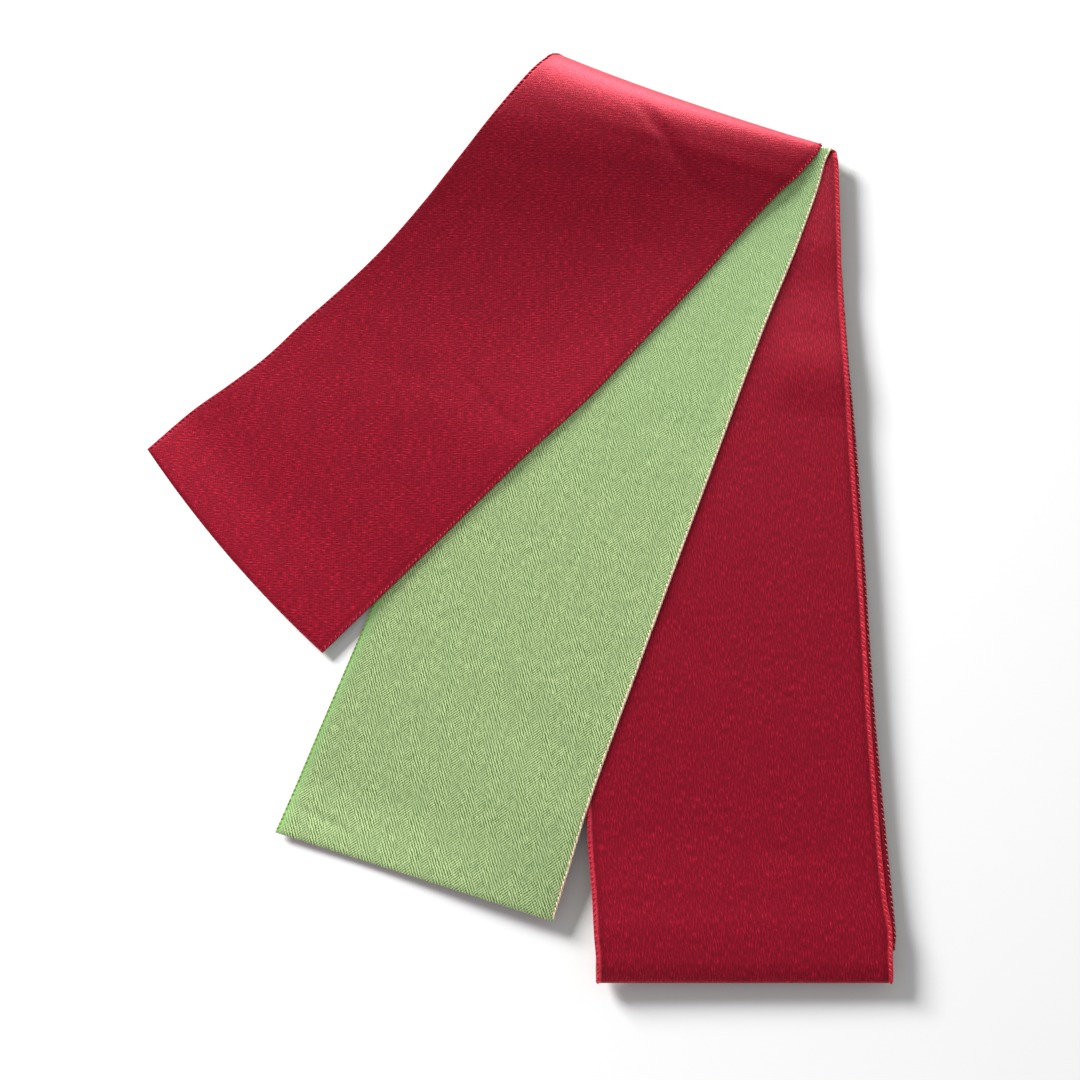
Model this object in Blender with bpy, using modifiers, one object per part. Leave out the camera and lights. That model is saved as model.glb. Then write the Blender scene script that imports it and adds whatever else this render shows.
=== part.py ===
"""A folded obi sash lying flat: a crimson and green band in a pile, its two end stretches fanned out.

Metres, +Z up. The origin is on the table, under the middle of the sash. The pile's soft bottom fold faces -Y,
and the big loop of the crimson end stretch is at +Y. Tables and driving sizes are in millimetres.
"""

import math
from collections import namedtuple

import bmesh
import bpy
import numpy as np

MM = 0.001

# The middle of the sash on the table, in the tables' own millimetres
MIDDLE = np.array((0.35, 1.5, 0.0))

# Driving sizes, in millimetres
CLOTH = 1.2
SEAM_GAP = 0.3
LAYER_PITCH = 2.0
LAYERS_IN_CORE = 3
SHARP_ANGLE = math.radians(40.0)
UP = np.array((0.0, 0.0, 1.0))

# Heights of the middle of the cloth
TABLE_LEVEL = CLOTH / 2
CORE_TOP_LEVEL = TABLE_LEVEL + (LAYERS_IN_CORE - 1) * LAYER_PITCH
UNDER_LEVEL = CORE_TOP_LEVEL + LAYER_PITCH
RETURN_LEVEL = UNDER_LEVEL + LAYER_PITCH
FRONT_LEVEL = RETURN_LEVEL + LAYER_PITCH
TAIL_LEVEL = FRONT_LEVEL + CLOTH + SEAM_GAP
PILE_FOLD_RADIUS = LAYER_PITCH / 2
TAIL_FOLD_RADIUS = (TAIL_LEVEL - FRONT_LEVEL) / 2
TAIL_FOLD_LEVEL = FRONT_LEVEL + TAIL_FOLD_RADIUS

# The tail droops towards the pile's left edge, which leans a little, and reaches the table this far out
PILE_LEFT_AT_MIDDLE = 40.0
PILE_LEAN = -0.0135
DROOP_RUN = 140.0

FRONT, BACK = -1, 1
CLOTH_COLUMNS = 8
TAIL_COLUMNS = 20

CRIMSON = (0.42, 0.010, 0.028, 1.0)
GREEN = (0.30, 0.46, 0.16, 1.0)
CLOTH_ROUGHNESS = 0.6

# A section crosses the band from its left edge to its right edge. Its middle dips by the sag, and stands out
# by the bow in plan, towards the left of a walker who goes from its left end to its right end.
Section = namedtuple("Section", "left_x left_y left_z right_x right_y right_z sag bow", defaults=(0.0, 0.0))

# A fold's axis runs from left to right, and its radius may change along it. The fold rises by its radius
# above the axis and stands out from it by its reach, which is its radius where none is given. Its left end is
# round, and so is its right end unless its roundness is below 1, which makes it boxy.
Axis = namedtuple(
    "Axis",
    "left_x left_y left_z left_radius right_x right_y right_z right_radius left_reach right_reach roundness",
    defaults=(None, None, 1.0),
)

# One section round a fold: 0 degrees is its outermost line and 90 its top, and the edges slide along the axis
Turn = namedtuple("Turn", "degrees left_slide right_slide")

# A slab of the core: its levels, its ends and how far its sides are set in
Slab = namedtuple("Slab", "low high front back inset")


def smoothstep(value):
    value = min(max(value, 0.0), 1.0)
    return value * value * (3.0 - 2.0 * value)


def round_fold(axis, turns, side, bow=0.0, swell=0.0):
    """Sections round a fold: each edge goes round a half ellipse about its end of the axis.

    The fold's middle swells above the line between its ends, most at its top."""
    left = np.array(axis[0:3])
    right = np.array(axis[4:7])
    left_reach = axis.left_reach or axis.left_radius
    right_reach = axis.right_reach or axis.right_radius
    along = (right - left) * (1.0, 1.0, 0.0)
    along /= np.linalg.norm(along)
    out = np.array((-along[1], along[0], 0.0)) * side
    sections = []
    for turn in turns:
        angle = math.radians(turn.degrees)
        level = abs(math.cos(angle))
        rise = math.sin(angle)
        boxy_level = level**axis.roundness
        boxy_rise = math.copysign(abs(rise) ** axis.roundness, rise)
        left_end = left + out * level * left_reach + UP * rise * axis.left_radius
        left_end = left_end + along * turn.left_slide
        right_end = right + out * boxy_level * right_reach + UP * boxy_rise * axis.right_radius
        right_end = right_end + along * turn.right_slide
        sections.append(Section(*left_end, *right_end, sag=-swell * max(rise, 0.0), bow=bow))
    return sections


def small_fold(left_x, right_x, y, level, radius, side, first, last):
    """A fold square to the band, from the first angle to the last in equal steps."""
    steps = 6
    turns = []
    for step in range(steps + 1):
        turns.append(Turn(first + (last - first) * step / steps, 0.0, 0.0))
    return round_fold(Axis(left_x, y, level, radius, right_x, y, level, radius), turns, side)


def smooth_sections(sections, steps):
    """The sections along a smooth curve through the given ones, some steps to each span."""
    table = np.array(sections, dtype=float)
    middles = (table[:, 0:3] + table[:, 3:6]) / 2.0
    spans = np.linalg.norm(np.diff(middles, axis=0), axis=1)
    secants = np.diff(table, axis=0) / spans[:, None]
    before, after = secants[:-1], secants[1:]
    turns_back = before * after <= 0.0
    totals = np.where(turns_back, 1.0, before + after)
    inner_slopes = np.where(turns_back, 0.0, 2.0 * before * after / totals)
    slopes = np.vstack((secants[:1], inner_slopes, secants[-1:]))
    smooth = []
    for index, span in enumerate(spans):
        for step in range(steps):
            t = step / steps
            start = table[index] * (2 * t**3 - 3 * t**2 + 1)
            start_slope = slopes[index] * span * (t**3 - 2 * t**2 + t)
            end = table[index + 1] * (3 * t**2 - 2 * t**3)
            end_slope = slopes[index + 1] * span * (t**3 - t**2)
            smooth.append(start + start_slope + end + end_slope)
    smooth.append(table[-1])
    return smooth


def no_droop(x, y):
    return 0.0


def droop_off_pile(x, y):
    """How far the tail hangs below the pile's top, at this place."""
    pile_left = PILE_LEFT_AT_MIDDLE + PILE_LEAN * y
    on_pile = smoothstep((x - pile_left + DROOP_RUN) / DROOP_RUN)
    return (TAIL_LEVEL - TABLE_LEVEL) * (1.0 - on_pile)


def new_object(name, mesh, colour):
    material = bpy.data.materials.new(name + "_cloth")
    material.use_nodes = True
    shader = material.node_tree.nodes["Principled BSDF"]
    shader.inputs["Base Color"].default_value = colour
    shader.inputs["Roughness"].default_value = CLOTH_ROUGHNESS
    shader.inputs["Metallic"].default_value = 0.0
    mesh.materials.append(material)
    mesh.shade_smooth()
    mesh.set_sharp_from_angle(angle=SHARP_ANGLE)
    node = bpy.data.objects.new(name, mesh)
    sash.objects.link(node)
    return node


def cloth_band(name, sections, colour, columns=CLOTH_COLUMNS, steps=2, droop=no_droop):
    """A flat grid laid through the sections, nowhere below the table, and as thick as the cloth."""
    rows = smooth_sections(sections, steps)
    shape = bmesh.new()
    bmesh.ops.create_grid(shape, x_segments=columns, y_segments=len(rows) - 1, size=0.5)
    for vertex in shape.verts:
        across = vertex.co.x + 0.5
        row = rows[round((vertex.co.y + 0.5) * (len(rows) - 1))]
        section = Section(*row)
        left, right = row[0:3], row[3:6]
        middle_share = 4.0 * across * (1.0 - across)
        ahead = np.array((left[1] - right[1], right[0] - left[0], 0.0))
        ahead /= np.linalg.norm(right - left)
        point = left * (1.0 - across) + right * across + ahead * section.bow * middle_share
        point[2] -= section.sag * middle_share
        point[2] -= droop(point[0], point[1])
        point[2] = max(point[2], TABLE_LEVEL)
        vertex.co = (point - MIDDLE) * MM
    mesh = bpy.data.meshes.new(name)
    shape.to_mesh(mesh)
    shape.free()
    node = new_object(name, mesh, colour)
    thickness = node.modifiers.new("cloth", "SOLIDIFY")
    thickness.thickness = CLOTH * MM
    thickness.offset = 0.0
    thickness.use_even_offset = True
    return node


def flap():
    """The crimson end stretch: from under the pile, round the big loop, and down to its free end."""
    tucked_under = [
        Section(42, 170, TABLE_LEVEL, 203, 170, TABLE_LEVEL),
        Section(42, 214, TABLE_LEVEL, 202, 192, TABLE_LEVEL),
    ]
    left_radius = 19.0
    right_radius = 7.8
    axis = Axis(
        18.8, 244.2, TABLE_LEVEL + left_radius, left_radius,
        189.1, 197.3, TABLE_LEVEL + right_radius, right_radius,
        left_reach=39.3, right_reach=28.7, roundness=0.6,
    )
    turns = [
        Turn(-90, 19.0, 8.0),
        Turn(-60, 15.0, 5.0),
        Turn(-30, 10.0, 2.0),
        Turn(0, 5.0, -1.0),
        Turn(16, 2.0, -1.8),
        Turn(23, 0.5, -1.9),
        Turn(30, -1.5, -2.0),
        Turn(45, -3.6, -2.2),
        Turn(60, -7.2, -3.3),
        Turn(75, -10.9, -5.6),
        Turn(82.5, -12.9, -7.8),
        Turn(90, -15.0, -11.5),
    ]
    loop = round_fold(axis, turns, BACK, bow=-3.4, swell=5.0)
    top = [
        Section(-4.9, 236.3, 38.0, 169.2, 192.6, 15.7, sag=-4.6, bow=-1.6),
        Section(-27.9, 207.7, 31.0, 148.1, 169.9, 14.4, sag=-3.6),
        Section(-49.8, 181.5, 22.5, 121.0, 137.9, 14.0, sag=-2.0),
        Section(-76.0, 152.5, 15.0, 84.4, 96.3, 14.1, sag=-0.8),
        Section(-99.3, 130.3, 9.8, 47.7, 55.8, 14.4),
        Section(-124.7, 107.6, 5.6, 15.3, 24.9, 13.9),
        Section(-144.9, 87.8, 3.2, -14.9, -4.7, 10.5),
        Section(-165.9, 70.8, 2.0, -44.3, -33.8, 6.8),
        Section(-190.0, 52.4, TABLE_LEVEL, -74.6, -63.9, 4.4, bow=-3.0),
        Section(-212.4, 28.4, 4.6, -104.2, -94.0, 4.6, bow=-4.5),
    ]
    cloth_band("flap", tucked_under + loop + top, CRIMSON, steps=3)


def green_tail():
    """The green end stretch: round the small turn at the back, across the pile and down onto the table."""
    axis = Axis(
        44.0, 250.0, TAIL_FOLD_LEVEL, TAIL_FOLD_RADIUS,
        203.5, 220.6, TAIL_FOLD_LEVEL, TAIL_FOLD_RADIUS,
    )
    turns = [
        Turn(-90, 0.0, 0.8),
        Turn(-45, 0.0, 0.2),
        Turn(0, 0.0, -0.9),
        Turn(45, 0.0, -2.1),
        Turn(90, 0.0, -2.9),
    ]
    turn = round_fold(axis, turns, BACK)
    tail = [
        Section(33.0, 224.0, TAIL_LEVEL, 190.2, 192.0, TAIL_LEVEL),
        Section(19.6, 187.0, TAIL_LEVEL, 174.3, 150.0, TAIL_LEVEL),
        Section(6.1, 150.0, TAIL_LEVEL, 156.3, 107.0, TAIL_LEVEL),
        Section(-32.2, 50.0, TAIL_LEVEL, 116.4, 3.0, TAIL_LEVEL),
        Section(-70.6, -50.0, TAIL_LEVEL, 77.8, -98.0, TAIL_LEVEL),
        Section(-105.6, -139.0, TAIL_LEVEL, 45.4, -185.0, TAIL_LEVEL),
        Section(-113.6, -160.0, TAIL_LEVEL, 38.8, -206.0, TAIL_LEVEL - 0.6),
        Section(-126.6, -194.6, TAIL_LEVEL + 3.4, 27.2, -242.7, TAIL_LEVEL - 3.4, sag=-1.6),
    ]
    cloth_band("green_tail", turn + tail, GREEN, TAIL_COLUMNS, steps=3, droop=droop_off_pile)


def front_leaf():
    """The crimson leaf on the pile: down to the soft bottom fold, and back up below itself."""
    face = [
        Section(44.0, 249.5, FRONT_LEVEL, 204.3, 220.0, FRONT_LEVEL),
        Section(44.0, 235.0, FRONT_LEVEL, 204.9, 212.0, FRONT_LEVEL),
        Section(43.8, 187.0, FRONT_LEVEL, 204.4, 187.0, FRONT_LEVEL),
        Section(42.3, 121.0, FRONT_LEVEL, 203.0, 121.0, FRONT_LEVEL),
        Section(43.1, 20.0, FRONT_LEVEL, 204.0, 20.0, FRONT_LEVEL),
        Section(44.2, -53.0, FRONT_LEVEL, 204.9, -53.0, FRONT_LEVEL),
        Section(44.8, -122.0, FRONT_LEVEL, 205.2, -122.0, FRONT_LEVEL),
        Section(45.8, -193.0, FRONT_LEVEL, 206.6, -193.0, FRONT_LEVEL),
        Section(48.2, -231.0, FRONT_LEVEL + 2.2, 208.1, -231.0, FRONT_LEVEL + 0.7),
        Section(49.0, -250.0, FRONT_LEVEL + 3.8, 210.0, -249.0, FRONT_LEVEL + 1.3),
    ]
    axis = Axis(
        50.0, -261.9, RETURN_LEVEL + 1.3, 4.5,
        209.4, -261.9, RETURN_LEVEL + 0.4, 3.0,
        left_reach=12.0, right_reach=12.0,
    )
    turns = []
    for degrees in range(80, -61, -20):
        turns.append(Turn(degrees, 0.0, 0.0))
    rolled = round_fold(axis, turns, FRONT)
    rising = [
        Section(50.3, -259.5, 8.3, 207.6, -259.5, 8.3),
        Section(49.6, -245.0, RETURN_LEVEL, 207.0, -245.0, RETURN_LEVEL),
        Section(47.0, -193.0, RETURN_LEVEL, 204.8, -193.0, RETURN_LEVEL),
        Section(44.6, 20.0, RETURN_LEVEL, 202.0, 20.0, RETURN_LEVEL),
        Section(44.0, 206.0, RETURN_LEVEL, 203.0, 206.0, RETURN_LEVEL),
    ]
    cloth_band("front_leaf", face + rolled + rising, CRIMSON)


def under_leaf():
    """The crimson leaf whose edge shows at the right, with its small folds at both ends."""
    top_level = UNDER_LEVEL + PILE_FOLD_RADIUS
    top = small_fold(44.0, 203.0, 206.0 + SEAM_GAP, top_level, PILE_FOLD_RADIUS, BACK, 90, -90)
    leaf = [
        Section(44.0, 150.0, UNDER_LEVEL, 204.0, 150.0, UNDER_LEVEL),
        Section(45.0, 90.0, UNDER_LEVEL, 205.0, 90.0, UNDER_LEVEL),
        Section(47.0, 27.0, UNDER_LEVEL, 207.0, 27.0, UNDER_LEVEL),
        Section(47.8, -34.0, UNDER_LEVEL, 207.8, -34.0, UNDER_LEVEL),
        Section(48.5, -121.0, UNDER_LEVEL, 208.5, -121.0, UNDER_LEVEL),
        Section(50.2, -177.0, UNDER_LEVEL, 210.2, -177.0, UNDER_LEVEL),
        Section(52.5, -231.0, UNDER_LEVEL, 212.5, -231.0, UNDER_LEVEL),
        Section(53.0, -250.0, UNDER_LEVEL, 213.1, -250.0, UNDER_LEVEL),
    ]
    bottom_level = CORE_TOP_LEVEL + PILE_FOLD_RADIUS
    bottom = small_fold(53.0, 212.2, -256.2, bottom_level, PILE_FOLD_RADIUS, FRONT, 90, -90)
    tucked_under = [Section(52.0, -244.0, CORE_TOP_LEVEL, 210.0, -244.0, CORE_TOP_LEVEL)]
    cloth_band("under_leaf", top + leaf + bottom + tucked_under, CRIMSON)


def folded_core():
    """The three hidden layers: slabs that show as layers at the edges, joined further in."""
    left, right = 45.5, 204.5
    inset = 5.0
    edge_round = 0.4
    overlap = 0.3
    layer = CLOTH / 2
    first = TABLE_LEVEL
    second = first + LAYER_PITCH
    third = CORE_TOP_LEVEL
    slabs = {
        "lowest": Slab(first - layer, first + layer, -250.0, 170.0 - SEAM_GAP, 0.0),
        "middle": Slab(second - layer, second + layer, -250.0, 205.0, 0.0),
        "highest": Slab(third - layer, third + layer, -244.0 + SEAM_GAP, 205.0, 0.0),
        "front_turn": Slab(first - overlap, second + overlap, -250.0 - overlap, 160.0, inset),
        "back_turn": Slab(second - overlap, third + overlap, -238.0, 205.0 + overlap, inset),
    }
    pieces = []
    for name, slab in slabs.items():
        shape = bmesh.new()
        bmesh.ops.create_cube(shape, size=1.0)
        size = (right - left - 2 * slab.inset, slab.back - slab.front, slab.high - slab.low)
        centre = ((left + right) / 2, (slab.back + slab.front) / 2, (slab.high + slab.low) / 2)
        for vertex in shape.verts:
            x, y, z = (vertex.co[i] * size[i] + centre[i] for i in range(3))
            vertex.co = (np.array((x + PILE_LEAN * y, y, z)) - MIDDLE) * MM
        mesh = bpy.data.meshes.new("core_" + name)
        shape.to_mesh(mesh)
        shape.free()
        piece = new_object("core_" + name, mesh, CRIMSON)
        rounding = piece.modifiers.new("rounded edge", "BEVEL")
        rounding.width = edge_round * MM
        rounding.segments = 2
        pieces.append(piece)
    core = pieces[0]
    core.name = "folded_core"
    for piece in pieces[1:]:
        sash.objects.unlink(piece)
        cutters.objects.link(piece)
        piece.hide_render = True
        piece.display_type = "WIRE"
        joint = core.modifiers.new(piece.name, "BOOLEAN")
        joint.operation = "UNION"
        joint.object = piece


for old in list(bpy.data.objects):
    bpy.data.objects.remove(old)
sash = bpy.data.collections.new("obi_sash")
cutters = bpy.data.collections.new("obi_sash_joined")
bpy.context.scene.collection.children.link(sash)
bpy.context.scene.collection.children.link(cutters)
flap()
green_tail()
front_leaf()
under_leaf()
folded_core()
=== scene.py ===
import math
from collections import namedtuple

import bpy
import numpy as np
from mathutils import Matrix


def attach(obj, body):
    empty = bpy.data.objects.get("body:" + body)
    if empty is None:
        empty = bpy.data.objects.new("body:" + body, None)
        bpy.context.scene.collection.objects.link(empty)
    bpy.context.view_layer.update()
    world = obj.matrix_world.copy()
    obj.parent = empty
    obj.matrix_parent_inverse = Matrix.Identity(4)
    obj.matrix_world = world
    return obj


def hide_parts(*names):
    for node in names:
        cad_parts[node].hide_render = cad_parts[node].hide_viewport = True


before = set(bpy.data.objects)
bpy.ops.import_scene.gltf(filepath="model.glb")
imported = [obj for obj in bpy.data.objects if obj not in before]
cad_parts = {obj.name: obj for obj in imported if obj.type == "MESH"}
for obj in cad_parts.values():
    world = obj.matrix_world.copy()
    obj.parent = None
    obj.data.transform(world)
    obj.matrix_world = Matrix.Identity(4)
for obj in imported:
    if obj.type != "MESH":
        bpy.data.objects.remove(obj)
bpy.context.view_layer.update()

bpy.ops.object.select_all(action="DESELECT")


# ---------------------------------------------------------------------------
# The three lowest layers of the pile, of which only edges and folds are seen. The sash is one long band of
# woven satin, crimson on one face and green on the other, folded to and fro on the table. Its two faces are
# sewn together along both long edges with slanting stitches.
MM = 0.001

# The sash is set out in millimetres on the table. This point of it, under its middle, is the frame's origin.
UNDER_MIDDLE = np.array((0.35, 1.5, 0.0))

CLOTH = 1.2
BAND_WIDTH = 160.0
HALF_BAND = BAND_WIDTH / 2
STITCH_PITCH = 2.8
ROW_SPACING = STITCH_PITCH / 3
LAYER_PITCH = 2.0
LOWEST_LEVEL = CLOTH / 2
SECOND_LEVEL = LOWEST_LEVEL + LAYER_PITCH
THIRD_LEVEL = SECOND_LEVEL + LAYER_PITCH
FRONT, BACK = -1, 1
UPWARDS = np.array((0.0, 0.0, 1.0))

# A section crosses the band from its left edge to its right edge. Its middle dips by the sag, and stands out
# by the bow in plan.
Section = namedtuple("Section", "left_x left_y left_z right_x right_y right_z sag bow", defaults=(0.0, 0.0))

# A fold's axis runs from left to right. The fold rises by its radius above the axis and stands out from it
# by its reach, which is its radius where none is given. Its left end is round, and so is its right end unless
# its roundness is below 1, which makes it boxy.
Axis = namedtuple(
    "Axis",
    "left_x left_y left_z left_radius right_x right_y right_z right_radius"
    " left_reach right_reach roundness",
    defaults=(None, None, 1.0),
)

# How far a fold's two edges have slid along its axis at an angle: 0 degrees is outermost and 90 its top.
Turn = namedtuple("Turn", "degrees left_slide right_slide")

# A crease is a soft trough, or a ridge where its depth is negative, between two points of the cloth laid
# flat: how far across from the left edge and how far along from the stretch's last section.
Crease = namedtuple("Crease", "across along end_across end_along half_width depth")


def smoothstep(low, high, value):
    share = np.clip((value - low) / (high - low), 0.0, 1.0)
    return share * share * (3.0 - 2.0 * share)


def round_fold(axis, turns, side, bow=0.0, step=10.0, swell=0.0):
    """Sections round a fold: each edge goes round an ellipse about its end of the axis, sliding along it.

    The fold's middle swells above the line between its ends, most at its top."""
    left, right = np.array(axis[0:3]), np.array(axis[4:7])
    left_reach = axis.left_reach or axis.left_radius
    right_reach = axis.right_reach or axis.right_radius
    along = (right - left) * (1.0, 1.0, 0.0)
    along /= np.linalg.norm(along)
    out = np.array((-along[1], along[0], 0.0)) * side
    table = np.array(turns)
    count = round(abs(table[-1, 0] - table[0, 0]) / step) + 1
    order = np.argsort(table[:, 0])
    sections = []
    for degrees in np.linspace(table[0, 0], table[-1, 0], count):
        left_slide, right_slide = (np.interp(degrees, table[order, 0], table[order, i]) for i in (1, 2))
        angle = math.radians(degrees)
        level, rise = abs(math.cos(angle)), math.sin(angle)
        boxy_level, boxy_rise = level**axis.roundness, math.copysign(abs(rise)**axis.roundness, rise)
        left_end = left + out * level * left_reach + UPWARDS * rise * axis.left_radius + along * left_slide
        right_end = right + out * boxy_level * right_reach + UPWARDS * boxy_rise * axis.right_radius
        right_end = right_end + along * right_slide
        sections.append(Section(*left_end, *right_end, sag=-swell * max(rise, 0.0), bow=bow))
    return sections


def small_fold(left_x, right_x, y, lower_level, side):
    """A fold square to the band, from the layer above down to the one at the lower level."""
    radius = LAYER_PITCH / 2
    axis = Axis(left_x, y, lower_level + radius, radius, right_x, y, lower_level + radius, radius)
    return round_fold(axis, (Turn(90.0, 0.0, 0.0), Turn(-90.0, 0.0, 0.0)), side, step=15.0)


def smooth_rows(sections):
    """Rows of the cloth at most one row spacing apart, on a smooth curve through the sections."""
    table = np.array(sections, dtype=float)
    middles = (table[:, 0:3] + table[:, 3:6]) / 2.0
    spans = np.linalg.norm(np.diff(middles, axis=0), axis=1)
    secants = np.diff(table, axis=0) / spans[:, None]
    before, after = secants[:-1], secants[1:]
    turns_back = before * after <= 0.0
    totals = np.where(turns_back, 1.0, before + after)
    inner_slopes = np.where(turns_back, 0.0, 2.0 * before * after / totals)
    slopes = np.vstack((secants[:1], inner_slopes, secants[-1:]))
    rows = []
    for index, span in enumerate(spans):
        steps = math.ceil(span / ROW_SPACING)
        for step in range(steps):
            t = step / steps
            start = table[index] * (2 * t**3 - 3 * t**2 + 1)
            start_slope = slopes[index] * span * (t**3 - 2 * t**2 + t)
            end = table[index + 1] * (3 * t**2 - 2 * t**3)
            end_slope = slopes[index + 1] * span * (t**3 - t**2)
            rows.append(start + start_slope + end + end_slope)
    rows.append(table[-1])
    return np.array(rows)


def across_band(columns):
    """Shares of the width for the mesh's columns: close together at the sewn edges, even between them."""
    at_edge = np.array((0.0, 0.45, 1.1, 2.2)) / BAND_WIDTH
    inner = np.linspace(at_edge[-1], 1.0 - at_edge[-1], columns + 1)
    return np.concatenate((at_edge[:-1], inner, 1.0 - at_edge[-2::-1]))


def laid_cloth(sections, columns, creases=(), ripple=0.0, droop=None):
    """The cloth's middle points in table millimetres, and each one's place across and along the flat band."""
    rows = smooth_rows(sections)
    shares = across_band(columns)
    left, right = rows[:, None, 0:3], rows[:, None, 3:6]
    share = shares[None, :, None]
    middle_share = 4.0 * share * (1.0 - share)
    to_right = right - left
    width = np.linalg.norm(to_right, axis=2, keepdims=True)
    ahead = np.concatenate((-to_right[..., 1:2], to_right[..., 0:1], 0.0 * width), axis=2)
    points = left * (1.0 - share) + right * share + ahead / width * rows[:, None, 7:8] * middle_share
    points[..., 2] -= rows[:, None, 6] * middle_share[..., 0]
    if droop:
        points[..., 2] -= droop(points[..., 0], points[..., 1])
    steps = np.linalg.norm(np.diff(points, axis=0), axis=2)
    from_start = np.concatenate((np.zeros((1, len(shares))), np.cumsum(steps, axis=0)))
    along = from_start[-1:] - from_start
    across = np.broadcast_to(shares * BAND_WIDTH, along.shape)
    for crease in creases:
        run = np.array((crease.end_across - crease.across, crease.end_along - crease.along))
        length = np.linalg.norm(run)
        run /= length
        from_end = np.stack((across - crease.across, along - crease.along), axis=2)
        on_crease = from_end @ run / length
        aside = np.abs(from_end @ np.array((-run[1], run[0]))) / crease.half_width
        fade = smoothstep(0.0, 0.3, on_crease) * smoothstep(0.0, 0.3, 1.0 - on_crease)
        points[..., 2] -= crease.depth * fade * np.clip(1.0 - aside**2, 0.0, 1.0) ** 2
    waves = np.sin(across / 23.0 + along / 41.0) * np.sin(along / 29.0 - across / 67.0 + 1.3)
    points[..., 2] = np.maximum(points[..., 2] + ripple * waves, LOWEST_LEVEL)
    return points, across, along


# The cloth's thickness at its edges, and how much more each stitch pinches it, as shares of the full one.
EDGE_THICKNESS = 0.3
STITCH_PINCH = 0.35


def sewn_band(name, points, across, along, starts_up, turned_under, materials):
    """The cloth's own shell: two faces that pinch together along the sewn edges and at the ends."""
    rows, columns = across.shape
    corner = np.arange(rows * columns).reshape(rows, columns)
    loops = (corner[:-1, :-1], corner[:-1, 1:], corner[1:, 1:], corner[1:, :-1])
    faces = np.stack([corner_set.ravel() for corner_set in loops], axis=1)
    first = points.reshape(-1, 3)[faces[columns // 2]]
    if np.cross(first[1] - first[0], first[3] - first[0])[2] < 0.0:
        faces = faces[:, ::-1]
    mesh = bpy.data.meshes.new(name)
    mesh.from_pydata(((points - UNDER_MIDDLE) * MM).reshape(-1, 3).tolist(), [], faces.tolist())
    flat = mesh.uv_layers.new(name="cloth_laid_flat")
    places = np.stack((across, along), axis=2).reshape(-1, 2) * MM
    corners = np.zeros(len(mesh.loops), dtype=np.int32)
    mesh.loops.foreach_get("vertex_index", corners)
    flat.uv.foreach_set("vector", places[corners].astype(np.float32).ravel())
    for material in materials[::-1] if starts_up == "green" else materials:
        mesh.materials.append(material)
    mesh.materials.append(turned_under)
    mesh.shade_smooth()
    band = bpy.data.objects.new(name, mesh)
    bpy.context.scene.collection.objects.link(band)
    from_edge = np.minimum(across, BAND_WIDTH - across)
    from_end = np.minimum(along, along[0:1] - along)
    to_full = smoothstep(-0.2, 2.2, np.minimum(from_edge, from_end))
    share_of_full = EDGE_THICKNESS + (1.0 - EDGE_THICKNESS) * to_full
    dimple = 0.5 + 0.5 * np.cos(2.0 * math.pi * along / STITCH_PITCH)
    beside_edge = (1.0 - smoothstep(0.6, 2.4, from_edge)) * smoothstep(0.0, 0.2, from_edge)
    share_of_full -= STITCH_PINCH * dimple * beside_edge
    thickness = band.vertex_groups.new(name="thickness")
    for index, weight in enumerate(share_of_full.ravel().tolist()):
        thickness.add((index,), weight, "REPLACE")
    wall = band.modifiers.new("two_faces", "SOLIDIFY")
    wall.thickness = CLOTH * MM
    wall.offset = 0.0
    wall.vertex_group = "thickness"
    wall.use_even_offset = True
    wall.material_offset = 1
    wall.material_offset_rim = 2
    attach(band, "root")
    return band


class Wire:
    """An output socket in a material. Arithmetic on it adds Math nodes, and node() adds any other node."""

    def __init__(self, tree, socket=None):
        self.tree = tree
        self.socket = socket

    def node(self, kind, settings=None, inputs=None, output=0):
        made = self.tree.nodes.new(kind)
        for name, value in (settings or {}).items():
            setattr(made, name, value)
        for key, value in (inputs or {}).items():
            if isinstance(value, Wire):
                self.tree.links.new(value.socket, made.inputs[key])
            else:
                made.inputs[key].default_value = value
        return Wire(self.tree, made.outputs[output])

    def maths(self, operation, first, second=0.0):
        return self.node("ShaderNodeMath", {"operation": operation}, {0: first, 1: second})

    def __add__(self, other):
        return self.maths("ADD", self, other)

    def __radd__(self, other):
        return self.maths("ADD", other, self)

    def __sub__(self, other):
        return self.maths("SUBTRACT", self, other)

    def __rsub__(self, other):
        return self.maths("SUBTRACT", other, self)

    def __mul__(self, other):
        return self.maths("MULTIPLY", self, other)

    def __rmul__(self, other):
        return self.maths("MULTIPLY", other, self)

    def wave(self):
        return self.maths("SINE", self * (2.0 * math.pi))

    def rise(self, low, high):
        """0 below low, 1 above high, soft between them."""
        settings = {"interpolation_type": "SMOOTHSTEP"}
        return self.node("ShaderNodeMapRange", settings, {"Value": self, "From Min": low, "From Max": high})

    def blend(self, first, second):
        """Two colours mixed by this value."""
        sides = {"Factor": self, 6: first, 7: second}
        return self.node("ShaderNodeMix", {"data_type": "RGBA"}, sides, output=2)

    def noise(self, place, scale, stretch=(1.0, 1.0, 1.0), detail=1.0):
        stretched = self.node("ShaderNodeVectorMath", {"operation": "MULTIPLY"}, {0: place, 1: stretch})
        return self.node("ShaderNodeTexNoise", {}, {"Vector": stretched, "Scale": scale, "Detail": detail})


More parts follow.
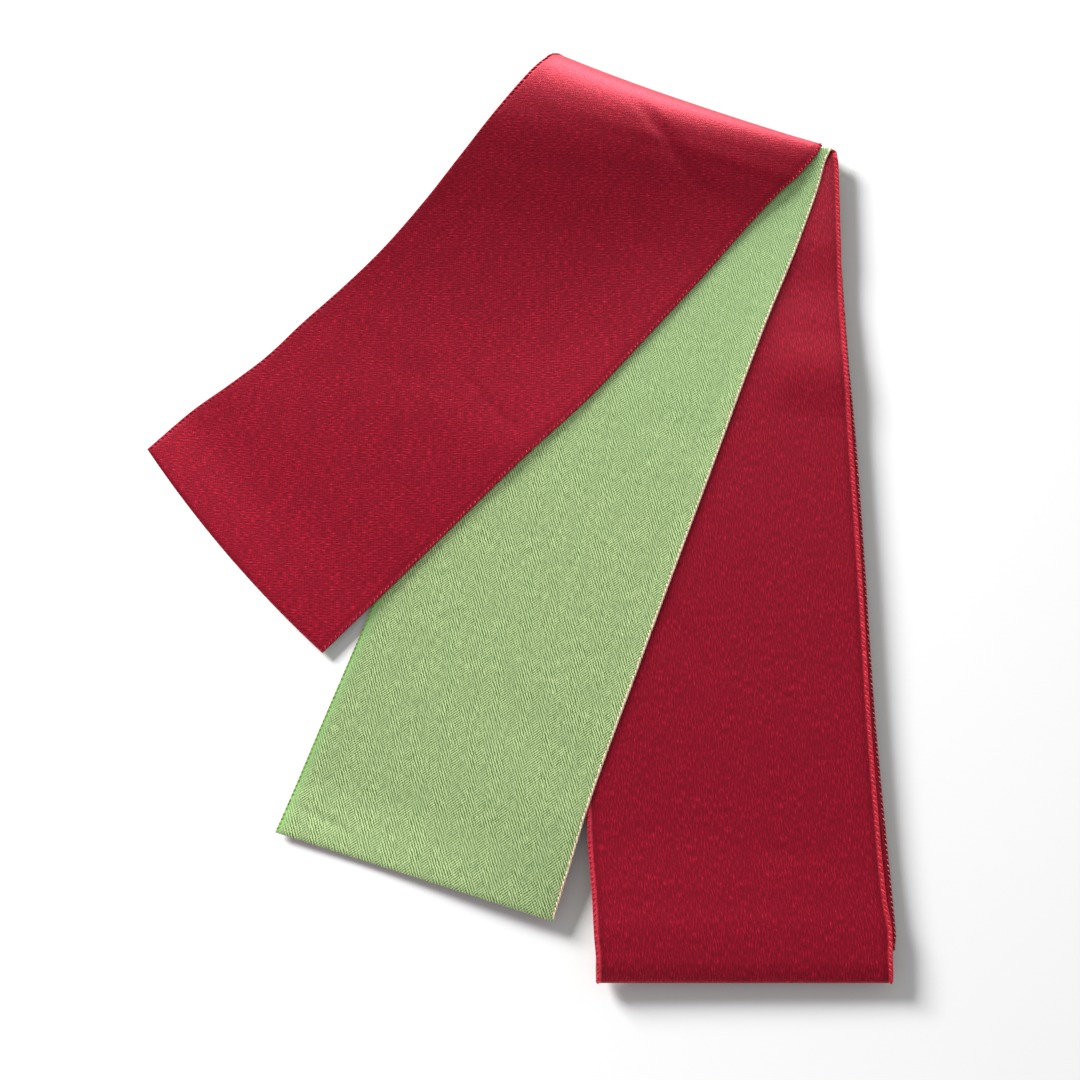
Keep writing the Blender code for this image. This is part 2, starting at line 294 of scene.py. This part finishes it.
# Colours and sizes of one face of the cloth. Its two sets of weave lines and its uneven streaks are told by
# their slant from the band's length, in degrees, and their pitch in millimetres. The shading is a slow change
# from one set of lines to the other. The fold shade and tone comes in away from the stretch's last section:
# a painted shade on the crimson, a greener tone on the green. The selvedge colour is a strip inside the sewn
# edges, painted shade beside the rounded edge on the crimson and a greener strip on the green. The edge
# highlight is a painted highlight on the rounded strip along a sewn edge, or along the left one only, and
# the gap shade is painted shade in the gaps between its stitches.
Satin = namedtuple(
    "Satin",
    "light shadow tone fold_tone fleck selvedge lip lip_share holes left_only"
    " slant pitch cross_slant cross_pitch lines streak_slant streak_pitch streak_length streaks"
    " dark_below light_above bump shading_pitch shading_slant flecks gloss roughness",
)
CRIMSON_SATIN = Satin(
    light=(0.72, 0.010, 0.050, 1.0), shadow=(0.23, 0.003, 0.015, 1.0), tone=(0.24, 0.003, 0.018, 1.0),
    fold_tone=(0.30, 0.004, 0.021, 1.0), fleck=(0.95, 0.13, 0.19, 1.0), selvedge=(0.26, 0.004, 0.018, 1.0),
    lip=(0.74, 0.030, 0.065, 1.0), lip_share=0.3, holes=0.75, left_only=False,
    slant=-45.0, pitch=1.7, cross_slant=45.0, cross_pitch=1.5, lines=0.17,
    streak_slant=-45.0, streak_pitch=0.62, streak_length=3.0, streaks=2.1, dark_below=0.2, light_above=1.3,
    bump=0.5, shading_pitch=14.0, shading_slant=-45.0, flecks=0.3, gloss=0.4, roughness=0.48,
)
GREEN_SATIN = Satin(
    light=(0.64, 0.80, 0.38, 1.0), shadow=(0.08, 0.17, 0.05, 1.0), tone=(0.30, 0.42, 0.19, 1.0),
    fold_tone=(0.28, 0.50, 0.22, 1.0), fleck=(0.60, 0.70, 0.42, 1.0), selvedge=(0.30, 0.54, 0.20, 1.0),
    lip=(0.32, 0.66, 0.18, 1.0), lip_share=0.5, holes=0.0, left_only=True,
    slant=36.0, pitch=1.4, cross_slant=-37.0, cross_pitch=1.25, lines=0.52,
    streak_slant=36.0, streak_pitch=0.9, streak_length=5.0, streaks=1.0, dark_below=0.0, light_above=1.0,
    bump=0.4, shading_pitch=14.0, shading_slant=18.0, flecks=0.3, gloss=0.1, roughness=0.55,
)


def new_material(name):
    material = bpy.data.materials.new(name)
    material.use_nodes = True
    return material, material.node_tree.nodes["Principled BSDF"], Wire(material.node_tree)


def connect(wire, shader, socket):
    wire.tree.links.new(wire.socket, shader.inputs[socket])


# The strips of colour beside a sewn edge, the selvedge strip with its painted shade, the painted edge
# highlight
# and the painted shade in the stitch gaps: how far in from it each has gone, and how far in it is still full.
Strip = namedtuple("Strip", "gone full")
SELVEDGE_AND_SHADE_STRIP = Strip(gone=7.0, full=3.8)
EDGE_HIGHLIGHT_STRIP = Strip(gone=3.3, full=1.6)
GAP_SHADE_STRIP = Strip(gone=2.6, full=1.8)


def satin_face(name, satin):
    """One face of the cloth, woven in the flat band's own millimetres."""
    material, shader, tools = new_material(name)
    flat = tools.node("ShaderNodeUVMap", {"uv_map": "cloth_laid_flat"})
    place = tools.node("ShaderNodeVectorMath", {"operation": "SCALE"}, {0: flat, "Scale": 1000.0})
    across = tools.node("ShaderNodeSeparateXYZ", {}, {0: place})
    along = Wire(tools.tree, across.socket.node.outputs[1])

    def turned(slant, pitch, length=1.0):
        turn = math.radians(slant)
        aside = across * (math.cos(turn) / pitch) + along * (math.sin(turn) / pitch)
        return aside, along * (math.cos(turn) / length) - across * (math.sin(turn) / length)

    uneven = tools.noise(place, 0.55, detail=2.0)
    first = (turned(satin.slant, satin.pitch)[0] + uneven * 0.9).wave()
    second = (turned(satin.cross_slant, satin.cross_pitch)[0] + uneven * 0.7).wave()
    patches = tools.noise(place, 0.06, detail=2.0)
    shading = (turned(satin.shading_slant, satin.shading_pitch)[0] + patches * 1.5).wave() * 0.5 + 0.5
    weave = first * (0.25 + shading * 0.75) + second * (0.8 - shading * 0.6)
    aside, ahead = turned(satin.streak_slant, satin.streak_pitch, satin.streak_length)
    streak_place = tools.node("ShaderNodeCombineXYZ", {}, {0: aside, 1: ahead})
    streaks = tools.noise(streak_place, 1.0, detail=2.0) - 0.5
    yarn = tools.noise(place, 3.0) - 0.5
    woven = weave * satin.lines + streaks * satin.streaks + yarn * (satin.streaks * 0.5)
    height = woven * 0.5 + 0.5
    colour = (woven + 0.5).rise(satin.dark_below, satin.light_above).blend(satin.shadow, satin.light)
    mottle = tools.noise(place, 0.10, stretch=(1.0, 0.6, 1.0), detail=2.0).rise(0.36, 0.70)
    colour = (mottle * 0.35).blend(colour, satin.tone)
    # Painted shade: the crimson darkens away from the stretch's last section, towards the folds; the green
    # turns greener there.
    colour = (along.rise(170.0, 480.0) * 0.35).blend(colour, satin.fold_tone)
    specks = streaks.rise(0.12, 0.32) * satin.flecks
    colour = specks.blend(colour, satin.fleck)
    to_left = HALF_BAND - across
    from_middle = to_left if satin.left_only else to_left.maths("ABSOLUTE", to_left)
    # Selvedge strip inside the sewn edges: painted shade beside the rounded edge on the crimson, a greener
    # strip on the green.
    selvedge = from_middle.rise(HALF_BAND - SELVEDGE_AND_SHADE_STRIP.gone, HALF_BAND - SELVEDGE_AND_SHADE_STRIP.full)
    colour = (selvedge * 0.4).blend(colour, satin.selvedge)
    # Painted highlight: a lighter strip along the rounded sewn edge, where it would catch the light.
    lip = (from_middle + uneven * 1.2 - 0.6).rise(HALF_BAND - EDGE_HIGHLIGHT_STRIP.gone, HALF_BAND - EDGE_HIGHLIGHT_STRIP.full)
    colour = (lip * satin.lip_share).blend(colour, satin.lip)
    # Painted shade: dark slanting gaps between the stitches along the sewn edge.
    painted_gaps = (along * (1.0 / STITCH_PITCH) + from_middle * 0.32 + 0.5).wave().rise(0.55, 0.95)
    at_painted_gaps = from_middle.rise(HALF_BAND - GAP_SHADE_STRIP.gone, HALF_BAND - GAP_SHADE_STRIP.full)
    colour = (painted_gaps * at_painted_gaps * satin.holes).blend(colour, satin.shadow)
    connect(colour, shader, "Base Color")
    relief = {"Height": height, "Strength": satin.bump, "Distance": 0.00025}
    connect(tools.node("ShaderNodeBump", {}, relief), shader, "Normal")
    connect(height * -0.1 + (satin.roughness + 0.05), shader, "Roughness")
    shader.inputs["Metallic"].default_value = satin.gloss
    shader.inputs["Specular IOR Level"].default_value = 0.2
    return material


def thread_finish(name, colour, dark):
    """Sewing thread, or the cloth turned in at an edge: matt, with a slight change of tone along it."""
    material, shader, tools = new_material(name)
    place = tools.node("ShaderNodeTexCoord", {}, {}, output="Object")
    change = tools.noise(place, 420.0, detail=2.0).rise(0.35, 0.65)
    connect(change.blend(dark, colour), shader, "Base Color")
    relief = {"Height": tools.noise(place, 2600.0), "Strength": 0.4, "Distance": 0.0001}
    connect(tools.node("ShaderNodeBump", {}, relief), shader, "Normal")
    shader.inputs["Roughness"].default_value = 0.75
    shader.inputs["Specular IOR Level"].default_value = 0.1
    return material


# One row of stitches: its thread, and the length of a stitch along the edge, how far in it reaches and its
# thickness, as shares of a plain stitch's.
Sewing = namedtuple("Sewing", "thread length reach thickness", defaults=(1.0, 1.0, 1.0))

# A plain stitch, in millimetres: points of its middle line, in from the edge, along it and up, and the
# thread's radius at each.
STITCH_PATH = np.array((
    (1.60, -1.05, 0.42), (1.15, -0.65, 0.66), (0.62, -0.10, 0.58),
    (0.36, 0.45, 0.10), (0.42, 0.75, -0.30), (0.90, 1.00, -0.58),
))
THREAD_RADII = np.array((0.24, 0.42, 0.45, 0.40, 0.34, 0.20))
THREAD_SIDES = 5

# No thread goes lower than this, just above the table.
LOWEST_THREAD = 0.03


def edge_stitches(name, points, across, along, seed, left, right):
    """Slanting stitches that close both long edges: each is a short bent length of thread round the edge."""
    draw = np.random.default_rng(seed)
    path, sides = STITCH_PATH, THREAD_SIDES
    ahead = np.gradient(path, axis=0)
    ahead /= np.linalg.norm(ahead, axis=1, keepdims=True)
    flat_way = np.cross(ahead, (0.6, 0.8, 0.0))
    flat_way /= np.linalg.norm(flat_way, axis=1, keepdims=True)
    other_way = np.cross(ahead, flat_way)
    angles = 2.0 * math.pi * np.arange(sides) / sides
    cosines, sines = np.cos(angles)[None, :, None], np.sin(angles)[None, :, None]
    ring = flat_way[:, None] * cosines + other_way[:, None] * sines
    ring *= THREAD_RADII[:, None, None]
    thread_faces = []
    for k in range(len(path) - 1):
        for side in range(sides):
            next_side = (side + 1) % sides
            thread_faces.append((
                k * sides + side, k * sides + next_side, (k + 1) * sides + next_side, (k + 1) * sides + side,
            ))
    caps = (tuple(range(sides))[::-1], tuple(range((len(path) - 1) * sides, len(path) * sides)))
    all_points, all_faces, threads = [], [], []
    for edge, inner, slot, sewing in ((0, 3, 0, left), (-1, -4, 1, right)):
        plain = path * (sewing.reach, sewing.length, 1.0)
        thread = (plain[:, None] + ring * sewing.thickness).reshape(-1, 3)
        line, reach = points[:, edge], along[:, edge]
        inward = points[:, inner] - line
        inward /= np.linalg.norm(inward, axis=1, keepdims=True)
        forward = np.gradient(line, axis=0)
        forward /= np.linalg.norm(forward, axis=1, keepdims=True)
        up = np.cross(inward, forward) if edge == -1 else np.cross(forward, inward)
        up /= np.linalg.norm(up, axis=1, keepdims=True)
        for place in np.arange(STITCH_PITCH, reach.max() - STITCH_PITCH, STITCH_PITCH):
            at = np.interp(place + draw.normal(0.0, 0.12), reach[::-1], np.arange(len(reach))[::-1])
            row = int(round(at))
            own = thread * (draw.uniform(0.85, 1.15), draw.uniform(0.85, 1.1), 1.0)
            placed = line[row] + own @ np.stack((inward[row], forward[row], up[row]))
            placed[:, 2] = np.maximum(placed[:, 2], LOWEST_THREAD)
            start = len(all_points) * len(thread)
            all_points.append(placed)
            for face in (*thread_faces, *caps):
                all_faces.append([start + index for index in face])
                threads.append(slot)
    placed = np.concatenate(all_points)
    mesh = bpy.data.meshes.new(name)
    mesh.from_pydata(((placed - UNDER_MIDDLE) * MM).tolist(), [], all_faces)
    mesh.materials.append(left.thread)
    mesh.materials.append(right.thread)
    mesh.polygons.foreach_set("material_index", threads)
    mesh.shade_smooth()
    stitches = bpy.data.objects.new(name, mesh)
    bpy.context.scene.collection.objects.link(stitches)
    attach(stitches, "root")
    return stitches


# The pile's leaves carry a strong painted highlight along their rolled sewn edges and a darker strip of
# painted shade inside them.
PILE_SATIN = CRIMSON_SATIN._replace(
    light=(0.66, 0.009, 0.046, 1.0), shadow=(0.20, 0.003, 0.013, 1.0), selvedge=(0.15, 0.002, 0.010, 1.0),
    lip=(0.86, 0.055, 0.095, 1.0), lip_share=0.9, holes=0.3,
    slant=3.0, pitch=1.5, cross_slant=-9.0, cross_pitch=1.7, lines=0.24,
    streak_slant=4.0, streak_pitch=0.7, streak_length=3.6, streaks=3.1, shading_slant=0.0, flecks=0.2,
)
crimson_leaf_face = satin_face("crimson_satin_in_pile", PILE_SATIN)
crimson_low_face = satin_face("crimson_satin_low_in_pile", PILE_SATIN._replace(lip_share=0.15))
green_leaf_face = satin_face("green_satin_in_pile", GREEN_SATIN)
crimson_edge = thread_finish("crimson_turned_edge", (0.26, 0.010, 0.024, 1.0), (0.10, 0.003, 0.010, 1.0))
crimson_thread = thread_finish("crimson_thread", (0.60, 0.045, 0.08, 1.0), (0.38, 0.012, 0.035, 1.0))
crimson_sewing = Sewing(crimson_thread, length=1.0, reach=1.1, thickness=1.0)

third_layer = [
    Section(52.0, -244.0, THIRD_LEVEL, 210.0, -244.0, THIRD_LEVEL),
    Section(49.5, -190.0, THIRD_LEVEL, 208.3, -190.0, THIRD_LEVEL),
    Section(46.0, -60.0, THIRD_LEVEL, 205.6, -60.0, THIRD_LEVEL),
    Section(45.2, 60.0, THIRD_LEVEL, 204.4, 60.0, THIRD_LEVEL),
    Section(43.0, 180.0, THIRD_LEVEL, 202.0, 180.0, THIRD_LEVEL),
]
turn_at_back = small_fold(42.6, 201.6, 203.6, SECOND_LEVEL, BACK)
second_layer = [
    Section(43.6, 150.0, SECOND_LEVEL, 202.2, 150.0, SECOND_LEVEL),
    Section(43.5, 40.0, SECOND_LEVEL, 203.0, 40.0, SECOND_LEVEL),
    Section(46.8, -70.0, SECOND_LEVEL, 205.3, -70.0, SECOND_LEVEL),
    Section(47.6, -180.0, SECOND_LEVEL, 207.0, -180.0, SECOND_LEVEL),
    Section(49.6, -235.0, SECOND_LEVEL, 208.6, -235.0, SECOND_LEVEL),
]
turn_at_front = small_fold(49.8, 208.8, -249.0, LOWEST_LEVEL, FRONT)
lowest_layer = [
    Section(48.0, -200.0, LOWEST_LEVEL, 207.6, -200.0, LOWEST_LEVEL),
    Section(46.9, -80.0, LOWEST_LEVEL, 206.0, -80.0, LOWEST_LEVEL),
    Section(44.2, 50.0, LOWEST_LEVEL, 203.9, 50.0, LOWEST_LEVEL),
    Section(42.0, 170.0, LOWEST_LEVEL, 203.0, 170.0, LOWEST_LEVEL),
]
layers = laid_cloth(third_layer + turn_at_back + second_layer + turn_at_front + lowest_layer, columns=12)
folded_layers = sewn_band(
    "folded_layers", *layers, "green", crimson_edge, materials=(crimson_leaf_face, green_leaf_face)
)
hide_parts("folded_core")
layer_stitches = edge_stitches("folded_layers_stitches", *layers, 11, crimson_sewing, crimson_sewing)


# ---------------------------------------------------------------------------
# The crimson leaf next above, whose sewn edge stands out a little at the pile's right. It is the same woven
# band, which comes from its fold at the back, lies crimson side up, and folds under itself at the front.
UNDER_LEVEL = THIRD_LEVEL + LAYER_PITCH

from_back = small_fold(44.0, 203.0, 206.3, UNDER_LEVEL, BACK)
leaf = [
    Section(44.0, 150.0, UNDER_LEVEL, 204.0, 150.0, UNDER_LEVEL),
    Section(45.0, 90.0, UNDER_LEVEL, 205.0, 90.0, UNDER_LEVEL),
    Section(47.0, 27.0, UNDER_LEVEL, 207.0, 27.0, UNDER_LEVEL),
    Section(47.8, -34.0, UNDER_LEVEL, 207.8, -34.0, UNDER_LEVEL),
    Section(48.5, -121.0, UNDER_LEVEL, 208.5, -121.0, UNDER_LEVEL),
    Section(50.2, -177.0, UNDER_LEVEL, 210.2, -177.0, UNDER_LEVEL),
    Section(52.5, -231.0, UNDER_LEVEL, 212.5, -231.0, UNDER_LEVEL),
    Section(53.0, -250.0, UNDER_LEVEL, 213.1, -250.0, UNDER_LEVEL),
]
under_itself = small_fold(53.0, 212.2, -256.2, THIRD_LEVEL, FRONT)
tucked_end = [Section(52.0, -244.0, THIRD_LEVEL, 210.0, -244.0, THIRD_LEVEL)]
leaf_cloth = laid_cloth(from_back + leaf + under_itself + tucked_end, columns=12)
under_leaf = sewn_band(
    "under_leaf_cloth", *leaf_cloth, "green", crimson_edge, materials=(crimson_low_face, green_leaf_face)
)
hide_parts("under_leaf")
rose_thread = thread_finish("rose_thread", (0.74, 0.36, 0.36, 1.0), (0.50, 0.12, 0.15, 1.0))
rose_sewing = Sewing(rose_thread, length=0.9, reach=0.7, thickness=0.8)
leaf_stitches = edge_stitches("under_leaf_stitches", *leaf_cloth, 12, crimson_sewing, rose_sewing)


# ---------------------------------------------------------------------------
# The crimson leaf on top of the pile, down to the soft rolled fold at its front and back up below itself. Its
# weave shows as fine lengthwise strokes, and its right edge is sewn with a brighter thread, whose colour also
# holds a painted highlight of the rolled edge.
RETURN_LEVEL = UNDER_LEVEL + LAYER_PITCH
FRONT_LEVEL = RETURN_LEVEL + LAYER_PITCH

front_face = [
    Section(44.0, 250.0, FRONT_LEVEL, 204.3, 220.5, FRONT_LEVEL),
    Section(44.0, 235.0, FRONT_LEVEL, 204.9, 212.0, FRONT_LEVEL),
    Section(43.8, 187.0, FRONT_LEVEL, 204.4, 187.0, FRONT_LEVEL),
    Section(42.3, 121.0, FRONT_LEVEL, 203.0, 121.0, FRONT_LEVEL),
    Section(43.1, 20.0, FRONT_LEVEL, 204.0, 20.0, FRONT_LEVEL),
    Section(44.2, -53.0, FRONT_LEVEL, 204.9, -53.0, FRONT_LEVEL),
    Section(44.8, -122.0, FRONT_LEVEL, 205.2, -122.0, FRONT_LEVEL),
    Section(45.8, -193.0, FRONT_LEVEL, 206.6, -193.0, FRONT_LEVEL),
    Section(48.2, -231.0, FRONT_LEVEL + 2.2, 208.1, -231.0, FRONT_LEVEL + 0.7),
    Section(49.0, -250.0, FRONT_LEVEL + 3.8, 210.0, -249.0, FRONT_LEVEL + 1.3),
]
rolled_axis = Axis(50.0, -261.9, RETURN_LEVEL + 1.3, 4.5, 209.4, -261.9, RETURN_LEVEL + 0.4, 3.0, 12.0, 12.0)
rolled_turns = (Turn(80.0, 0.0, 0.0), Turn(-60.0, 0.0, 0.0))
rolled_fold = round_fold(rolled_axis, rolled_turns, FRONT)
return_face = [
    Section(50.3, -259.5, RETURN_LEVEL - 0.3, 207.6, -259.5, RETURN_LEVEL - 0.3),
    Section(49.6, -245.0, RETURN_LEVEL, 207.0, -245.0, RETURN_LEVEL),
    Section(47.0, -193.0, RETURN_LEVEL, 204.8, -193.0, RETURN_LEVEL),
    Section(44.6, 20.0, RETURN_LEVEL, 202.0, 20.0, RETURN_LEVEL),
    Section(44.0, 206.0, RETURN_LEVEL, 203.0, 206.0, RETURN_LEVEL),
]
# The brighter thread's colour is partly the thread's own and partly painted highlight, the light caught along
# the rolled right edge.
crimson_highlit_thread = thread_finish(
    "crimson_highlit_thread", (0.80, 0.06, 0.09, 1.0), (0.60, 0.025, 0.05, 1.0)
)
crimson_highlit_sewing = Sewing(crimson_highlit_thread, length=1.7, reach=1.3, thickness=1.3)
front_creases = (
    Crease(108.0, 889.0, 176.0, 886.0, 30.0, 1.0), Crease(108.0, 834.0, 176.0, 828.0, 30.0, -1.5),
    Crease(85.0, 552.0, 130.0, 549.0, 8.0, 0.2), Crease(20.0, 700.0, 90.0, 640.0, 22.0, 0.3),
    Crease(40.0, 300.0, 120.0, 318.0, 9.0, 0.3),
)
front_stretch = front_face + rolled_fold + return_face
front_cloth = laid_cloth(front_stretch, columns=28, creases=front_creases, ripple=0.1)
front_leaf = sewn_band(
    "front_leaf_cloth", *front_cloth, "red", crimson_edge, materials=(crimson_leaf_face, green_leaf_face)
)
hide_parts("front_leaf")
front_stitches = edge_stitches("front_leaf_stitches", *front_cloth, 13, crimson_sewing, crimson_highlit_sewing)


# ---------------------------------------------------------------------------
# The end stretch that shows its green satin. It turns over at the back of the pile, crosses it and droops off
# its left edge to the table. Pale thread shows along its right edge and olive thread along its left.
TAIL_LEVEL = FRONT_LEVEL + 1.5
PILE_LEFT, PILE_LEAN, DROOP_RUN = 40.0, -0.0135, 140.0


def droop_off_pile(x, y):
    """How far the tail hangs below the pile's top."""
    pile_left = PILE_LEFT + PILE_LEAN * y
    return (TAIL_LEVEL - LOWEST_LEVEL) * (1.0 - smoothstep(0.0, 1.0, (x - pile_left + DROOP_RUN) / DROOP_RUN))


TAIL_RADIUS = (TAIL_LEVEL - FRONT_LEVEL) / 2
TURN_LEVEL = FRONT_LEVEL + TAIL_RADIUS
tail_axis = Axis(44.0, 250.0, TURN_LEVEL, TAIL_RADIUS, 203.5, 220.6, TURN_LEVEL, TAIL_RADIUS)
tail_turns = (
    Turn(-90.0, 0.0, 0.8), Turn(-45.0, 0.0, 0.2), Turn(0.0, 0.0, -0.9), Turn(45.0, 0.0, -2.1),
    Turn(90.0, 0.0, -2.9),
)
tail_turn = round_fold(tail_axis, tail_turns, BACK, step=15.0)
tail_run = [
    Section(33.0, 224.0, TAIL_LEVEL, 190.2, 192.0, TAIL_LEVEL),
    Section(19.6, 187.0, TAIL_LEVEL, 174.3, 150.0, TAIL_LEVEL),
    Section(6.1, 150.0, TAIL_LEVEL, 156.3, 107.0, TAIL_LEVEL),
    Section(-32.2, 50.0, TAIL_LEVEL, 116.4, 3.0, TAIL_LEVEL),
    Section(-70.6, -50.0, TAIL_LEVEL, 77.8, -98.0, TAIL_LEVEL),
    Section(-105.6, -139.0, TAIL_LEVEL, 45.4, -185.0, TAIL_LEVEL),
    Section(-113.6, -160.0, TAIL_LEVEL, 38.8, -206.0, TAIL_LEVEL - 0.6),
    Section(-126.6, -194.6, TAIL_LEVEL + 3.4, 27.2, -242.7, TAIL_LEVEL - 3.4, -1.6),
]
green_face = satin_face("green_satin", GREEN_SATIN)
brown_edge = thread_finish("brown_turned_edge", (0.40, 0.22, 0.16, 1.0), (0.26, 0.12, 0.09, 1.0))
pale_thread = thread_finish("pale_thread", (0.90, 0.74, 0.56, 1.0), (0.74, 0.52, 0.38, 1.0))
olive_thread = thread_finish("olive_thread", (0.34, 0.44, 0.15, 1.0), (0.20, 0.24, 0.09, 1.0))
pale_sewing = Sewing(pale_thread, length=2.0, reach=0.75, thickness=1.35)
olive_sewing = Sewing(olive_thread, length=0.8, reach=0.6, thickness=0.7)
tail_creases = (
    Crease(2.0, 18.0, 42.0, 11.0, 4.0, 0.4), Crease(70.0, 120.0, 175.0, 60.0, 26.0, 0.5),
    Crease(100.0, 300.0, 175.0, 280.0, 20.0, 0.3), Crease(160.0, 10.0, 160.0, 470.0, 7.0, -0.9),
)
tail_stretch = tail_turn + tail_run
tail_cloth = laid_cloth(tail_stretch, columns=36, creases=tail_creases, ripple=0.12, droop=droop_off_pile)
green_tail = sewn_band(
    "green_tail_cloth", *tail_cloth, "red", brown_edge, materials=(crimson_leaf_face, green_face)
)
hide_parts("green_tail")
tail_stitches = edge_stitches("green_tail_stitches", *tail_cloth, 14, olive_sewing, pale_sewing)


# ---------------------------------------------------------------------------
# The crimson end stretch: from under the pile it rises round a big soft loop at the back and slopes down
# over the green one to its free end on the table. It keeps a sharp dent below the loop, and faint creases.
flap_tucked = [
    Section(42.0, 170.0, LOWEST_LEVEL, 203.0, 170.0, LOWEST_LEVEL),
    Section(42.0, 214.0, LOWEST_LEVEL, 202.0, 192.0, LOWEST_LEVEL),
]
LOOP_LEFT, LOOP_RIGHT = 19.0, 7.8
loop_axis = Axis(
    18.8, 244.2, LOWEST_LEVEL + LOOP_LEFT, LOOP_LEFT, 189.1, 197.3, LOWEST_LEVEL + LOOP_RIGHT, LOOP_RIGHT,
    left_reach=39.3, right_reach=28.7, roundness=0.6,
)
loop_turns = (
    Turn(-90.0, 19.0, 8.0), Turn(-60.0, 15.0, 5.0), Turn(-30.0, 10.0, 2.0), Turn(0.0, 5.0, -1.0),
    Turn(16.0, 2.0, -1.8), Turn(23.0, 0.5, -1.9), Turn(30.0, -1.5, -2.0), Turn(45.0, -3.6, -2.2),
    Turn(60.0, -7.2, -3.3), Turn(75.0, -10.9, -5.6), Turn(82.5, -12.9, -7.8), Turn(90.0, -15.0, -11.5),
)
flap_loop = round_fold(loop_axis, loop_turns, BACK, bow=-3.4, step=7.5, swell=5.0)
flap_run = [
    Section(-4.9, 236.3, 38.0, 169.2, 192.6, 15.7, -4.6, -1.6),
    Section(-27.9, 207.7, 31.0, 148.1, 169.9, 14.4, -3.6),
    Section(-49.8, 181.5, 22.5, 121.0, 137.9, 14.0, -2.0),
    Section(-76.0, 152.5, 15.0, 84.4, 96.3, 14.1, -0.8),
    Section(-99.3, 130.3, 9.8, 47.7, 55.8, 14.4),
    Section(-124.7, 107.6, 5.6, 15.3, 24.9, 13.9),
    Section(-144.9, 87.8, 3.2, -14.9, -4.7, 10.5),
    Section(-165.9, 70.8, 2.0, -44.3, -33.8, 6.8),
    Section(-190.0, 52.4, LOWEST_LEVEL, -74.6, -63.9, 4.4, bow=-3.0),
    Section(-212.4, 28.4, 4.6, -104.2, -94.0, 4.6, bow=-4.5),
]
crimson_face = satin_face("crimson_satin", CRIMSON_SATIN)
flap_creases = (
    Crease(52.0, 369.0, 140.0, 359.5, 6.5, 1.0), Crease(70.0, 369.0, 145.0, 352.0, 17.0, 0.6),
    Crease(87.0, 174.7, 150.7, 170.4, 5.0, 0.2), Crease(20.0, 130.0, 95.0, 150.0, 24.0, 0.4),
    Crease(30.0, 455.0, 110.0, 448.0, 10.0, 0.6), Crease(90.0, 428.0, 150.0, 436.0, 8.0, 0.5),
)
flap_stretch = flap_tucked + flap_loop + flap_run
flap_cloth = laid_cloth(flap_stretch, columns=44, creases=flap_creases, ripple=0.15)
flap = sewn_band("flap_cloth", *flap_cloth, "green", crimson_edge, materials=(crimson_face, green_face))
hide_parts("flap")
flap_stitches = edge_stitches("flap_stitches", *flap_cloth, 15, crimson_sewing, crimson_sewing)


# ---------------------------------------------------------------------------
# The studio: a white table top in an even pale surround. One lamp at the back left lights only the table and
# casts the soft shadow on it. Three light only the cloth: at the back, low behind the big loop and, weakly,
# at the front left. The camera looks down at the photograph's angle.
bpy.ops.mesh.primitive_plane_add(size=8.0, location=(0.0, 0.0, -0.0002))
table_top = bpy.context.active_object
table_top.name = "table_top"
table_finish, table_shader, table_tools = new_material("white_table_top")
table_place = table_tools.node("ShaderNodeTexCoord", {}, {}, output="Object")
table_tone = table_tools.noise(table_place, 3.0).blend((0.86, 0.86, 0.86, 1.0), (0.88, 0.88, 0.88, 1.0))
connect(table_tone, table_shader, "Base Color")
table_shader.inputs["Roughness"].default_value = 0.9
table_shader.inputs["Specular IOR Level"].default_value = 0.1
table_top.data.materials.append(table_finish)

surround = bpy.data.worlds.new("pale_surround")
surround.use_nodes = True
surround.node_tree.nodes["Background"].inputs["Color"].default_value = (1.0, 1.0, 1.0, 1.0)
surround.node_tree.nodes["Background"].inputs["Strength"].default_value = 0.4
bpy.context.scene.world = surround


def soft_lamp(name, direction, height, distance, size, power):
    """A square soft lamp: its compass direction from +X and its height above the table are in degrees."""
    lamp = bpy.data.lights.new(name, "AREA")
    lamp.shape = "SQUARE"
    lamp.size = size
    lamp.energy = power
    turn, rise = math.radians(direction), math.radians(height)
    holder = bpy.data.objects.new(name, lamp)
    holder.location = (
        distance * math.cos(turn) * math.cos(rise),
        distance * math.sin(turn) * math.cos(rise),
        distance * math.sin(rise),
    )
    holder.rotation_euler = (math.pi / 2 - rise, 0.0, turn + math.pi / 2)
    bpy.context.scene.collection.objects.link(holder)
    return holder


table_lamp = soft_lamp("table_lamp", direction=141.0, height=29.0, distance=3.0, size=1.0, power=175.0)
on_table = bpy.data.collections.new("lit_by_table_lamp")
on_table.objects.link(table_top)
table_lamp.light_linking.receiver_collection = on_table
off_table = bpy.data.collections.new("not_lit_by_cloth_lamps")
off_table.objects.link(table_top)
off_table.collection_objects[0].light_linking.link_state = "EXCLUDE"
back_lamp = soft_lamp("back_lamp", direction=106.0, height=19.0, distance=4.0, size=1.4, power=140.0)
back_lamp.light_linking.receiver_collection = off_table
loop_lamp = soft_lamp("loop_lamp", direction=73.0, height=12.0, distance=3.0, size=0.8, power=108.0)
loop_lamp.light_linking.receiver_collection = off_table
front_lamp = soft_lamp("front_lamp", direction=225.0, height=30.0, distance=3.0, size=0.8, power=27.0)
front_lamp.light_linking.receiver_collection = off_table

lens = bpy.data.cameras.new("view_from_above")
lens.lens = 50.0
lens.sensor_width = 36.0
camera = bpy.data.objects.new("view_from_above", lens)
camera.location = (0.01965, -0.2547, 0.8481)
camera.rotation_euler = (math.radians(15.0), 0.0, 0.0)
bpy.context.scene.collection.objects.link(camera)
bpy.context.scene.camera = camera
bpy.context.scene.view_settings.view_transform = "Standard"
